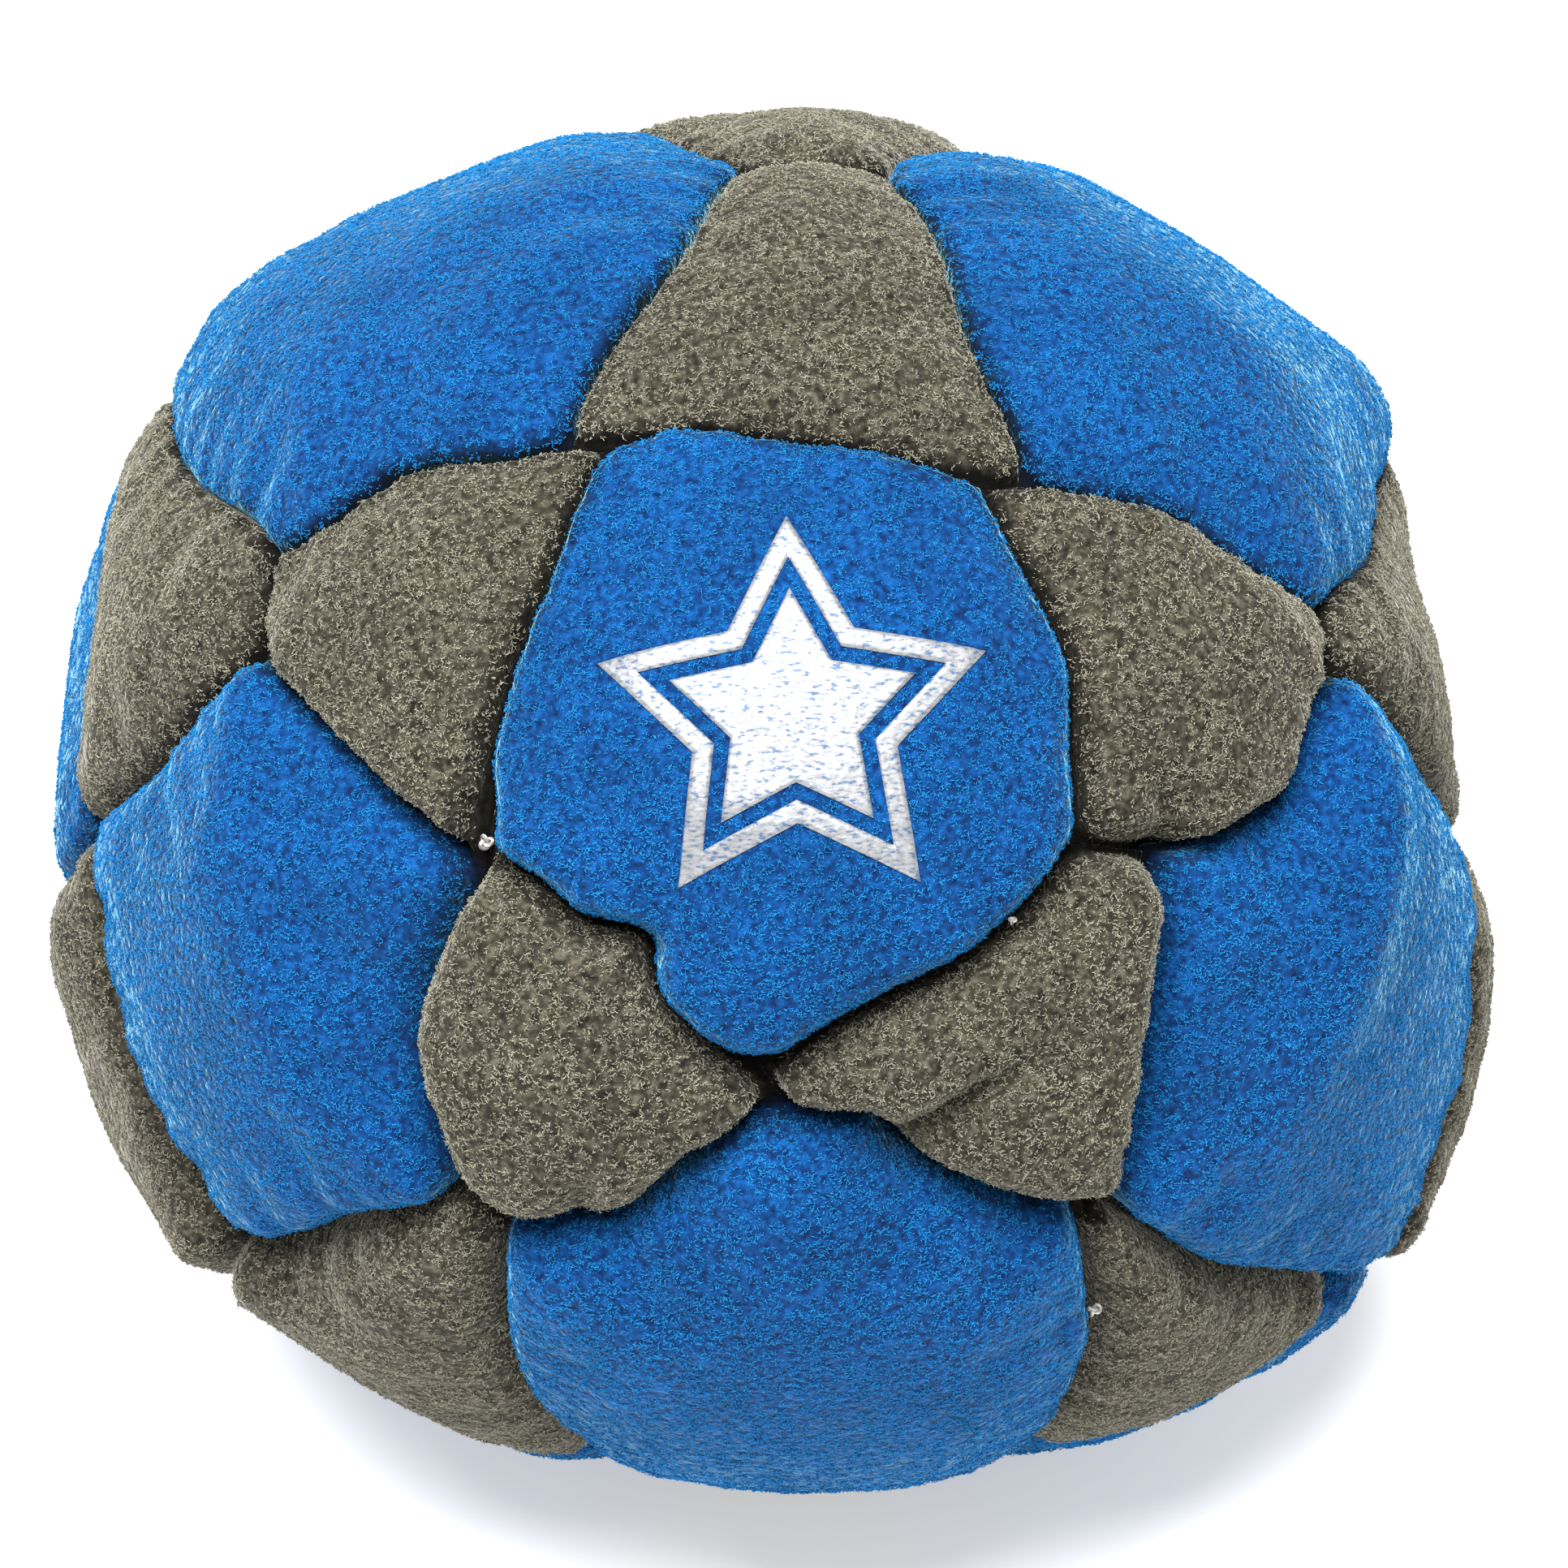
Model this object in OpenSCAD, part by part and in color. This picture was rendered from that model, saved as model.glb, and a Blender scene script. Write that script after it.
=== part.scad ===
// Hand-sewn kick bag of 12 blue and 20 grey panels, slumped on its resting side.
// Millimetres. The resting side lies on z = 0 and the front panel looks along -Y and up.

/* [Bag] */
// Width across the fullest part
bag_d = 58; // [53:1:62]
// How far the resting side is pressed in by the bag's weight
rest_depth = 3; // [2:0.1:3.5]
// Tilt of the front panel above level
front_tilt = 52.6; // [50:0.1:55]
// Turn of the front panel on its own axis, clockwise from one corner straight down
front_roll = 2.5; // [0:0.5:5]

/* [Panels] */
// Thickness of the napped fabric
fabric_t = 1; // [0.8:0.1:1.2]
// Width of the seam allowance turned in along every edge
allowance = 3; // [2:0.5:3.5]
// Place of a seam corner on the line between two blue panels, as a share of it
corner_share = 0.46; // [0.42:0.01:0.47]
// Depth of the seam corners below the fullest part
seam_depth = 1.5; // [1.2:0.1:1.8]
// Height of the blue crowns below the fullest part
blue_drop = 0; // [0:0.1:0.4]
// Height of the grey crowns below the fullest part
grey_drop = 0.6; // [0.4:0.1:0.8]

/* [Thread] */
// Diameter of the sewing thread
thread_d = 0.6; // [0.4:0.1:0.8]
// Diameter of the knots that show at three corners
knot_d = 0.7; // [0.5:0.1:0.9]

/* [Foil star] */
// Width of the foil print on the front panel, across its star's points
star_d = 16; // [12:0.5:17]
// Width of the print's outline
outline_w = 0.8; // [0.6:0.1:1]
// Gap between the outline and the solid star inside it
outline_gap = 0.6; // [0.4:0.1:0.8]
// Thickness of the foil
foil_t = 0.1; // [0.08:0.01:0.15]

/* [Hidden] */
$fn = 96;
BLUE = "#2d73cd";
GREY = "#766e62";
BLUE_NAMES = ["blue_front", "blue_below", "blue_left", "blue_upper_left", "blue_upper_right", "blue_right",
              "blue_rear_low_left", "blue_rear_left", "blue_top", "blue_rear_right", "blue_rear_low_right",
              "blue_underside"];
GREY_NAMES = [for (place = ["front", "side", "rear", "under"]) for (k = [1 : 5]) str("grey_", place, "_", k)];

bag_r = bag_d / 2;
seam_r = bag_r - seam_depth;
core_r = seam_r - allowance;
bag_z = bag_r - rest_depth;
fill_gap = 0.1;
// Distance of the star's inner corners from its middle, as a share of its points' distance
star_waist = 0.52;
knot_gap = 0.3;
// Length left between runs of thread where three of them meet
thread_gap = 0.8;
reach = 2 * bag_d;

// The front panel's own directions: to its right, up its face, and straight out of it
RIGHT = [1, 0, 0];
UP = [0, sin(front_tilt), cos(front_tilt)];
OUT = [0, -cos(front_tilt), sin(front_tilt)];

// Blue panels lie on the twelve points of an icosahedron: the front, a ring of five, a ring of five, the back
ring_tilt = atan(2);
function spoke(tilt, turn) = sin(tilt) * sin(turn) * RIGHT + sin(tilt) * cos(turn) * UP + cos(tilt) * OUT;
BLUE_AXES = concat([spoke(0, 0)],
                   [for (k = [0 : 4]) spoke(ring_tilt, 180 + front_roll + 72 * k)],
                   [for (k = [0 : 4]) spoke(180 - ring_tilt, 216 + front_roll + 72 * k)],
                   [spoke(180, 0)]);
function near(k) = 1 + k % 5;
function far(k) = 6 + k % 5;
// Blue panels whose corners point at each other
PAIRS = [for (a = [0 : 10]) for (b = [a + 1 : 11]) if (BLUE_AXES[a] * BLUE_AXES[b] > 0.4) [a, b]];
// Each grey panel lies between three blue ones
FACES = concat([for (k = [0 : 4]) [0, near(k), near(k + 1)]],
               [for (k = [0 : 4]) [near(k), near(k + 1), far(k)]],
               [for (k = [0 : 4]) [near(k + 1), far(k), far(k + 1)]],
               [for (k = [0 : 4]) [far(k), far(k + 1), 11]]);

// Hand sewing sets the corners around the front off their even places. Each row is a corner, as the blue
// panel it belongs to and the one it points at, and its shift away from the front panel and clockwise around it.
SHIFTS = [[0, 1, 0.8, 5.5], [0, 2, -2, 4], [0, 3, 0, 3.2], [0, 4, -2.5, 1], [0, 5, -2, 2.5],
          [1, 0, -1.6, 1.3], [2, 0, -4.5, -6], [3, 0, -3.5, -2], [4, 0, -5.5, 6], [5, 0, -0.5, -1.5],
          [1, 2, -6, -1], [2, 1, -7, -3], [2, 3, -9, -4.5], [3, 2, -7.5, -0.5], [3, 4, 3.5, -1],
          [4, 3, 5.5, 5.5], [4, 5, -5.5, 5.5], [5, 4, -6.5, 5], [5, 1, -5.1, 3], [1, 5, -6, -1.7],
          [2, 6, -8, -5], [6, 2, 3, -7], [1, 6, 5, -3], [6, 1, 6, -5], [1, 10, 5, -4], [10, 1, 4, -3],
          [5, 10, 1, 4], [2, 7, -10, -2.5], [7, 2, -12, -5], [5, 9, -4, 3], [3, 7, -1, -4],
          [7, 3, -4, -3], [4, 9, 0, 6], [9, 4, 0, 4], [3, 8, 0, 4]];

function unit(v) = v / norm(v);
function total(list) = [for (item = list) 1] * list;
function shift(from, to) = total(concat([[0, 0, 0, 0]], [for (s = SHIFTS) if (s[0] == from && s[1] == to) s]));
// Direction of the seam corner of one blue panel that points at another
function corner(from, to) =
    let (even = unit((1 - corner_share) * BLUE_AXES[from] + corner_share * BLUE_AXES[to]), s = shift(from, to))
    spoke(acos(even * OUT) + s[2], atan2(even * RIGHT, even * UP) + s[3]);
// Normal of the plane of a seam, on the side of the given direction
function seam(start, end, side) = unit(cross(start, end)) * sign(cross(start, end) * side);
// The other two panels of a face, seen from one of its three
function others(face, from) = [for (p = face) if (p != from) p];
function touches(face, panel) = len(others(face, panel)) == 2;

function blue_seams(panel) = [for (face = FACES) if (touches(face, panel)) let (o = others(face, panel))
    seam(corner(panel, o[0]), corner(panel, o[1]), BLUE_AXES[panel])];
function grey_seams(face) = concat(
    [for (p = face) let (o = others(face, p)) -seam(corner(p, o[0]), corner(p, o[1]), BLUE_AXES[p])],
    [for (p = face) let (o = others(face, p)) seam(corner(o[0], o[1]), corner(o[1], o[0]), BLUE_AXES[p])]);
function grey_axis(face) = unit(total([for (p = face) BLUE_AXES[p]]));

// Point of a seam between two of its corners' directions
function between(start, end, share) = unit((1 - share) * start + share * end);
// Knots left outside: along a seam of a blue panel, from one corner to another
KNOTS = [[0, between(corner(0, 2), corner(2, 0), 0.6)],
         [0, between(corner(0, 5), corner(0, 1), 0.26)],
         [1, between(corner(1, 5), corner(1, 10), 0.3)]];

// Angles from a panel's axis to its corners, where every crown meets the seams
even_corner = unit((1 - corner_share) * BLUE_AXES[0] + corner_share * BLUE_AXES[1]);
blue_reach = acos(even_corner * BLUE_AXES[0]);
grey_reach = acos(even_corner * grey_axis(FACES[0]));
// Distance of a crown's centre from the middle of the bag
function crown_offset(top_r, reach_a) = (top_r ^ 2 - seam_r ^ 2) / (2 * (top_r - seam_r * cos(reach_a)));
blue_offset = crown_offset(bag_r - blue_drop, blue_reach);
grey_offset = crown_offset(bag_r - grey_drop, grey_reach);
blue_crown_r = bag_r - blue_drop - blue_offset;
grey_crown_r = bag_r - grey_drop - grey_offset;

// Distance of a blue crown from the middle of the bag, in a direction
function blue_height(panel, direction) =
    let (along = blue_offset * (BLUE_AXES[panel] * direction))
    along + sqrt(blue_crown_r ^ 2 - blue_offset ^ 2 + along ^ 2);

// Turns +Z to a direction
module aim(direction)
{
    rotate([0, acos(direction.z), atan2(direction.y, direction.x)]) children();
}

// Everything further along a direction than a given distance from the middle of the bag
module beyond(direction, distance)
{
    aim(direction) translate([-reach / 2, -reach / 2, distance]) cube(reach);
}

// The space between a panel's seams, drawn in from them by a margin
module wedge(seams, margin)
{
    intersection_for (normal = seams) beyond(normal, margin);
}

// The crowned body of a panel, pressed flat where the bag rests, drawn in by a margin
module crown(axis, offset, radius, margin)
{
    intersection()
    {
        translate(offset * axis) sphere(radius - margin);
        beyond([0, 0, 1], margin - bag_z);
    }
}

// One panel: its face, and the seam allowance turned in along its edges
module panel(axis, offset, radius, seams)
{
    translate([0, 0, bag_z]) difference()
    {
        intersection()
        {
            crown(axis, offset, radius, 0);
            wedge(seams, 0);
        }
        intersection()
        {
            crown(axis, offset, radius, fabric_t);
            wedge(seams, fabric_t);
        }
        sphere(core_r);
    }
}

module blue_panel(k)
{
    color(BLUE) panel(BLUE_AXES[k], blue_offset, blue_crown_r, blue_seams(k));
}

module grey_panel(k)
{
    color(GREY) panel(grey_axis(FACES[k]), grey_offset, grey_crown_r, grey_seams(FACES[k]));
}

// A run of thread over the turned-in edges, from one direction to another
module thread_run(start, end)
{
    side = unit(cross(start, end));
    across = cross(side, start);
    run_r = core_r - thread_d / 2;
    trim = thread_gap / 2 / run_r * 180 / PI;
    multmatrix([[start.x, across.x, side.x, 0], [start.y, across.y, side.y, 0], [start.z, across.z, side.z, 0]])
        rotate([0, 0, trim]) rotate_extrude(angle = acos(start * end) - 2 * trim)
            translate([run_r, 0]) circle(thread_d / 2, $fn = 24);
}

module seam_thread()
{
    color("whitesmoke") translate([0, 0, bag_z])
    {
        for (face = FACES) for (p = face) let (o = others(face, p)) thread_run(corner(p, o[0]), corner(p, o[1]));
        for (pair = PAIRS) thread_run(corner(pair[0], pair[1]), corner(pair[1], pair[0]));
    }
}

// Knots left outside where the sewing was closed
module thread_knots()
{
    color("whitesmoke") translate([0, 0, bag_z]) for (knot = KNOTS)
        translate((blue_height(knot[0], knot[1]) + knot_d / 2 + knot_gap) * knot[1]) sphere(knot_d / 2, $fn = 24);
}

module sand_fill()
{
    color("tan") translate([0, 0, bag_z]) sphere(core_r - thread_d - fill_gap);
}

// A fat five-pointed star whose edges are drawn in by a margin
module star(margin)
{
    waist = star_d / 2 * star_waist;
    // Distance of the star's edges from its middle
    edge = star_d / 2 * waist * sin(36) / norm([waist * sin(36), star_d / 2 - waist * cos(36)]);
    scale(1 - margin / edge)
        polygon([for (k = [0 : 9]) (k % 2 == 0 ? star_d / 2 : waist) * [sin(36 * k), cos(36 * k)]]);
}

// The print: an outline with a solid star inside it
module print_shape()
{
    difference()
    {
        star(0);
        star(outline_w);
    }
    star(outline_w + outline_gap);
}

module foil_star()
{
    color("silver") translate([0, 0, bag_z]) intersection()
    {
        difference()
        {
            translate(blue_offset * OUT) sphere(blue_crown_r + foil_t);
            translate(blue_offset * OUT) sphere(blue_crown_r);
        }
        rotate([90 - front_tilt, 0, 0]) linear_extrude(reach) print_shape();
    }
}

for (k = [0 : 11])
    blue_panel(k);
for (k = [0 : 19])
    grey_panel(k);
seam_thread();
thread_knots();
sand_fill();
foil_star();
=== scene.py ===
"""The looks of a hand-sewn kick bag of 12 blue and 20 grey napped panels, slumped on its resting side.

The panels repeat the driving dimensions and seam corners of part.scad, in millimetres around the
middle of the bag, and go into the frame in metres.
"""

import itertools
import math

import bmesh
import bpy
import numpy as np
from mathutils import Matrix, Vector
from mathutils.bvhtree import BVHTree


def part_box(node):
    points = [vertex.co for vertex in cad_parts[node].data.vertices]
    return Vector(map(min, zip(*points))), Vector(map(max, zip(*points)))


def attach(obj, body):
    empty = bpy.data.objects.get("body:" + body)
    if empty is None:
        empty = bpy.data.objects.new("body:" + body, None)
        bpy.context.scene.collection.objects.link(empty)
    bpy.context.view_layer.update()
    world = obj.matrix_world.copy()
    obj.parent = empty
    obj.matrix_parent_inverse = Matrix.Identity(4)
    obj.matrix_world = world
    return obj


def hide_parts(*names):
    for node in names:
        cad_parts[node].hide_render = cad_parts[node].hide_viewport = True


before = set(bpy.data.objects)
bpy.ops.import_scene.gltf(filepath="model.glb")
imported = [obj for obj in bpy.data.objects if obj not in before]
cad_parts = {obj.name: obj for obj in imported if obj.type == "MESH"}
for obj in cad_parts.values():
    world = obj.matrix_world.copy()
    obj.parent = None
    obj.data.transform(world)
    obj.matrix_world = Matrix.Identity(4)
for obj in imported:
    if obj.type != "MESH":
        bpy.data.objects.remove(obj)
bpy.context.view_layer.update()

MM = 0.001
fill_low, fill_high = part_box("sand_fill")
MIDDLE = np.array((fill_low + fill_high) / 2) / MM

# ---------------------------------------------------------------- Layout: as in part.scad

BAG_D = 58.0
FRONT_TILT = 52.6
FRONT_ROLL = 2.5
CORNER_SHARE = 0.46
CORE_R = 24.5
FABRIC_T = 1.0
BAG_R = BAG_D / 2

BLUE_NAMES = ["blue_front", "blue_below", "blue_left", "blue_upper_left", "blue_upper_right",
              "blue_right", "blue_rear_low_left", "blue_rear_left", "blue_top", "blue_rear_right",
              "blue_rear_low_right", "blue_underside"]
GREY_NAMES = [f"grey_{place}_{k}" for place in ("front", "side", "rear", "under") for k in range(1, 6)]


def sin(degrees):
    return np.sin(np.radians(degrees))


def cos(degrees):
    return np.cos(np.radians(degrees))


def unit(vectors):
    return vectors / np.linalg.norm(vectors, axis=-1, keepdims=True)


RIGHT = np.array([1.0, 0.0, 0.0])
UP = np.array([0.0, sin(FRONT_TILT), cos(FRONT_TILT)])
OUT = np.array([0.0, -cos(FRONT_TILT), sin(FRONT_TILT)])


def spoke(tilt, turn):
    """A direction, by its angle from the front panel's axis and its turn clockwise around it from up."""
    return sin(tilt) * sin(turn) * RIGHT + sin(tilt) * cos(turn) * UP + cos(tilt) * OUT


# Angle between neighbouring blue panels
RING_TILT = math.degrees(math.atan(2))
BLUE_AXES = np.array([spoke(0, 0)]
                     + [spoke(RING_TILT, 180 + FRONT_ROLL + 72 * k) for k in range(5)]
                     + [spoke(180 - RING_TILT, 216 + FRONT_ROLL + 72 * k) for k in range(5)]
                     + [spoke(180, 0)])


def near(k):
    """Number of a blue panel in the ring next to the front one."""
    return 1 + k % 5


def far(k):
    """Number of a blue panel in the ring behind that."""
    return 6 + k % 5


# The three blue panels around each grey one
FACES = ([(0, near(k), near(k + 1)) for k in range(5)]
         + [(near(k), near(k + 1), far(k)) for k in range(5)]
         + [(near(k + 1), far(k), far(k + 1)) for k in range(5)]
         + [(far(k), far(k + 1), 11) for k in range(5)])

# Each seam corner off its even place: the blue panel that it belongs to and the one it points at, and its
# shift away from the front panel and clockwise around it
SHIFTS = {(0, 1): (0.8, 5.5), (0, 2): (-2, 4), (0, 3): (0, 3.2), (0, 4): (-2.5, 1), (0, 5): (-2, 2.5),
          (1, 0): (-1.6, 1.3), (2, 0): (-4.5, -6), (3, 0): (-3.5, -2), (4, 0): (-5.5, 6),
          (5, 0): (-0.5, -1.5), (1, 2): (-6, -1), (2, 1): (-7, -3), (2, 3): (-9, -4.5),
          (3, 2): (-7.5, -0.5), (3, 4): (3.5, -1), (4, 3): (5.5, 5.5), (4, 5): (-5.5, 5.5),
          (5, 4): (-6.5, 5), (5, 1): (-5.1, 3), (1, 5): (-6, -1.7), (2, 6): (-8, -5), (6, 2): (3, -7),
          (1, 6): (5, -3), (6, 1): (6, -5), (1, 10): (5, -4), (10, 1): (4, -3), (5, 10): (1, 4),
          (2, 7): (-10, -2.5), (7, 2): (-12, -5), (5, 9): (-4, 3), (3, 7): (-1, -4), (7, 3): (-4, -3),
          (4, 9): (0, 6), (9, 4): (0, 4), (3, 8): (0, 4)}


def corner(home, other):
    """Direction of the seam corner of one blue panel that points at another."""
    even = unit((1 - CORNER_SHARE) * BLUE_AXES[home] + CORNER_SHARE * BLUE_AXES[other])
    outward, clockwise = SHIFTS.get((home, other), (0, 0))
    tilt = math.degrees(math.acos(even @ OUT))
    turn = math.degrees(math.atan2(even @ RIGHT, even @ UP))
    return spoke(tilt + outward, turn + clockwise)


# Two blue panels are neighbours where the cosine of the angle between them is over this
NEIGHBOUR_COSINE = 0.4
# Any direction that lies along no blue panel's axis
ASKEW = [0.31, 0.47, 0.83]


def neighbours(home):
    """The five blue panels around one, counter-clockwise from outside."""
    axis = BLUE_AXES[home]
    found = [k for k in range(12) if k != home and BLUE_AXES[k] @ axis > NEIGHBOUR_COSINE]
    side = unit(np.cross(axis, ASKEW))
    up = np.cross(axis, side)
    return sorted(found, key=lambda k: math.atan2(BLUE_AXES[k] @ up, BLUE_AXES[k] @ side))


def blue_corners(home):
    """Seam corners around a blue panel."""
    return [(home, other) for other in neighbours(home)]


def grey_corners(face):
    """Seam corners around a grey panel."""
    a, b, c = face
    if np.linalg.det(BLUE_AXES[[a, b, c]]) < 0:
        b, c = c, b
    return [(a, b), (b, a), (b, c), (c, b), (c, a), (a, c)]


# ---------------------------------------------------------------- Seams

# How far a long seam bows out from its blue panel halfway along
BOW = 0.4
# Where the photograph shows a seam leave that bow: its blue panel, the panels that its two corners point
# at, the place along it as a share from the first corner, half its width as a share, and how far out from
# the blue panel
BENDS = [(0, 2, 1, 0.12, 0.10, 0.7), (0, 2, 1, 0.53, 0.10, -1.5), (0, 2, 1, 0.80, 0.12, 0.2),
         (0, 4, 5, 0.15, 0.15, -0.2), (0, 4, 5, 0.52, 0.20, 0.7),
         (0, 3, 2, 0.40, 0.20, -0.4), (0, 3, 2, 0.88, 0.10, 0.2), (0, 3, 4, 0.22, 0.15, 0.5),
         (1, 0, 2, 0.60, 0.25, -1.6), (1, 0, 5, 0.22, 0.14, 1.3), (1, 0, 5, 0.50, 0.20, 0.0),
         (1, 0, 5, 0.90, 0.08, 0.5),
         (2, 0, 1, 0.50, 0.30, -2.0), (2, 0, 3, 0.15, 0.12, 0.3), (2, 3, 7, 0.50, 0.30, -1.4),
         (3, 0, 2, 0.50, 0.25, -1.4), (4, 0, 5, 0.40, 0.25, -0.9),
         (5, 0, 4, 0.20, 0.15, -0.9), (5, 0, 4, 0.50, 0.22, -2.2), (5, 0, 1, 0.55, 0.30, 0.2),
         (5, 1, 10, 0.40, 0.20, 0.5)]
# How far the long seams without bends wander, and in how many waves
WANDER = 0.35
WANDER_WAVES = 1.3
# Share of a seam at each end over which its bends fade in
BEND_TAPER = 0.08
# Number of the stretches that a seam is measured on
SEAM_STEPS = 90


def seam_offset(first, last, along):
    """How far a seam lies from the great circle between its corners, out from its blue panel."""
    if first[0] != last[0]:
        return 0 * along
    offset = BOW * 4 * along * (1 - along)
    taper = np.clip(np.minimum(along, 1 - along) / BEND_TAPER, 0, 1)
    bends = [row for row in BENDS if {first, last} == {(row[0], row[1]), (row[0], row[2])}]
    for blue, start, end, place, width, out in bends:
        along_bend = along if (blue, start) == first else 1 - along
        offset = offset + out * taper * np.exp(-((along_bend - place) / width) ** 2)
    if not bends:
        phase = 0.37 * (first[0] + 5 * first[1] + 3 * last[1])
        offset = offset + WANDER * taper * np.sin(2 * math.pi * (WANDER_WAVES * along + phase))
    return offset


def seam_line(start, end, along):
    """Directions of points along the seam between two corners."""
    first, last = sorted((start, end))
    if start != first:
        along = 1 - along
    a, b = corner(*first), corner(*last)
    angle = math.acos(a @ b)
    base = np.outer(np.sin((1 - along) * angle), a) + np.outer(np.sin(along * angle), b)
    base = base / math.sin(angle)
    outward = unit(np.cross(a, b))
    if outward @ BLUE_AXES[first[0]] > 0:
        outward = -outward
    return unit(base + np.outer(seam_offset(first, last, along) / BAG_R, outward))


# ---------------------------------------------------------------- Heights of the skin

# Distance of the seams from the middle of the bag, before their grooves
SHOULDER_R = 27.7
BLUE_CROWN = 1.3
GREY_CROWN = 0.9
BLUE_REACH = 8.0
GREY_REACH = 5.0
CROWN_POWER = 2.2
# How softly the distances from a panel's seams blend at its corners, and the least they come to
EDGE_SOFTNESS = 0.35
LEAST_EDGE = -0.3
# Grooves at the seams, where they are drawn flat and where the bag sags
GROOVE_DEPTH = (0.5, 1.7)
GROOVE_WIDTH = (0.4, 1.25)
# How far from the seam the panels turn straight down, which leaves a dark gap
GROOVE_GAP = (0.03, 0.34)
# How far the panels round off towards the grooves, in the same two places
ROUND_DEPTH = (0.3, 0.8)
ROUND_WIDTH = 2.8
# Small gathers along the seams
GATHER_SIZE = 2.3
GATHER_HEIGHT = 0.12
GATHER_REACH = 0.8
# Size of the stretches in which they are strong or weak
GATHER_PATCH = 3.0
# The cloth's unevenness: size of its grains, their height, seed of the noise
UNEVENNESS = [(7.0, 0.14, 1), (2.6, 0.035, 2)]
# Swells and hollows of the whole bag: tilt and turn of the middle, its radius in degrees, height
SWELLS = [(80, 0, 34, -1.0), (83, 36, 11, -1.0), (84, 59, 8, 1.6), (87, 79, 18, -2.0),
          (91, 110, 11, 0.7), (88, 126, 4, 1.3), (94, 130, 18, 1.9), (97, 186, 30, -1.6),
          (97, 218, 8, -1.9), (84, 232, 6, 1.6), (95, 241, 26, 0.5), (90, 262, 6, 0.9),
          (90, 280, 9, -0.6), (86, 309, 18, 1.5), (82, 350, 7, 0.4)]
# Folds and dents: names of the panels, tilt and turn of the middle, heading of the long side clockwise
# from straight away from the front, half its length, half its width, height
FOLDS = [("grey_front_4", 33, 103, 60, 2.0, 1.2, -1.1),
         ("grey_front_1", 45, 207, 0, 1.8, 0.7, -0.9),
         ("grey_front_1 blue_front", 21.5, 213, 30, 1.1, 0.8, -0.8),
         ("blue_right", 54, 103, 88, 9, 2.1, 1.0),
         ("blue_right", 43, 108, 88, 7, 3.0, -0.4),
         ("blue_left", 51, 254, 92, 7, 3.2, 0.4),
         ("blue_left", 42, 250, 92, 6, 3.0, -0.3),
         ("grey_front_5", 34, 156, 86, 2.6, 0.65, -1.1),
         ("grey_front_5", 30.5, 165, 88, 2.6, 1.3, 0.6),
         ("grey_front_5", 41, 151, 60, 3.2, 2.4, 0.6),
         ("grey_front_5 blue_below", 36, 163, 90, 1.2, 0.9, -0.9),
         ("grey_front_1", 36, 217, 20, 4, 2.6, 0.5),
         ("blue_below", 63, 156, 10, 3.5, 0.9, -0.4),
         ("grey_rear_1", 83, 229, 0, 3, 2, 0.6),
         ("blue_upper_right", 57, 47, 70, 5, 2.6, 0.4),
         ("blue_upper_left", 52, 322, 80, 5, 2.4, -0.3)]
# Seams where one shoulder stands over the other: the blue panel, the panels that the seam's corners point
# at, and how far its blue side stands over its grey side, or under it where that is negative
STEPS = [(2, 0, 1, -0.8), (1, 0, 2, -0.8), (1, 0, 5, -0.7), (5, 0, 1, -0.8), (2, 0, 3, -0.6),
         (5, 0, 4, -0.6), (0, 2, 1, 0.5), (0, 5, 1, 0.5), (2, 1, 6, 0.7), (5, 1, 10, 0.6),
         (1, 2, 6, 0.4), (1, 5, 10, 0.4), (0, 3, 4, 0.2), (3, 0, 4, 0.2), (4, 0, 3, 0.2),
         (3, 0, 2, 0.3), (4, 0, 5, -0.3)]
# Distance from such a seam at which the step is fullest
STEP_REACH = 0.9
# Length over which the step fades in at both ends of the seam
STEP_ENDS = 2.5
# How far the upper shoulder leans over the seam, as a share of the step, and how much of that the lower
# one draws back
LEAN = 0.55
LOWER_LEAN = 0.3
# The sag grows from nothing to full where a direction's share along UP falls from this to its negative
SAG_RANGE = 0.35
# Least room between the skin and the sand
LEAST_ROOM = 0.1

# Values that noise() picks from
_table = np.random.RandomState(7).uniform(-1, 1, 4096)


def noise(points, size, seed):
    """Smooth random values from -1 to 1 with grains of one size."""
    scaled = points / size + 31.7 * seed + 50
    cell = np.floor(scaled).astype(int)
    part = scaled - cell
    part = part * part * (3 - 2 * part)
    total = 0
    for step in itertools.product((0, 1), repeat=3):
        x, y, z = (cell + step).T
        share = np.prod(np.where(step, part, 1 - part), axis=1)
        total = total + share * _table[(x * 1619 + y * 31337 + z * 6971 + seed * 1013) % 4096]
    return total


def smooth_step(value, low, high):
    """A smooth rise from 0 to 1 between two values."""
    t = np.clip((value - low) / (high - low), 0, 1)
    return t * t * (3 - 2 * t)


def seam_ways(corners, directions):
    """Way of each direction to each seam of a panel, how far along the seam that is, and its length."""
    along = np.linspace(0, 1, SEAM_STEPS + 1)
    ways, places, lengths = [], [], []
    for start, end in zip(corners, corners[1:] + corners[:1]):
        line = seam_line(start, end, along) * BAG_R
        tangent = unit(np.gradient(line, axis=0))
        half = np.linalg.norm(line[1:] - line[:-1], axis=1).max() / 2
        points = directions * BAG_R
        nearest = np.argmax(directions @ unit(line).T, axis=1)
        offset = points - line[nearest]
        run = np.clip(np.sum(offset * tangent[nearest], axis=1), -half, half)
        ways.append(run[:, None] * tangent[nearest] - offset)
        lengths.append(2 * half * SEAM_STEPS)
        places.append(along[nearest] * lengths[-1] + run)
    return np.array(ways), np.array(places), lengths


def sagging(directions):
    """How far the bag sags: 0 on its upper side, 1 below the front panel."""
    return smooth_step(-directions @ UP, -SAG_RANGE, SAG_RANGE)


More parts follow.
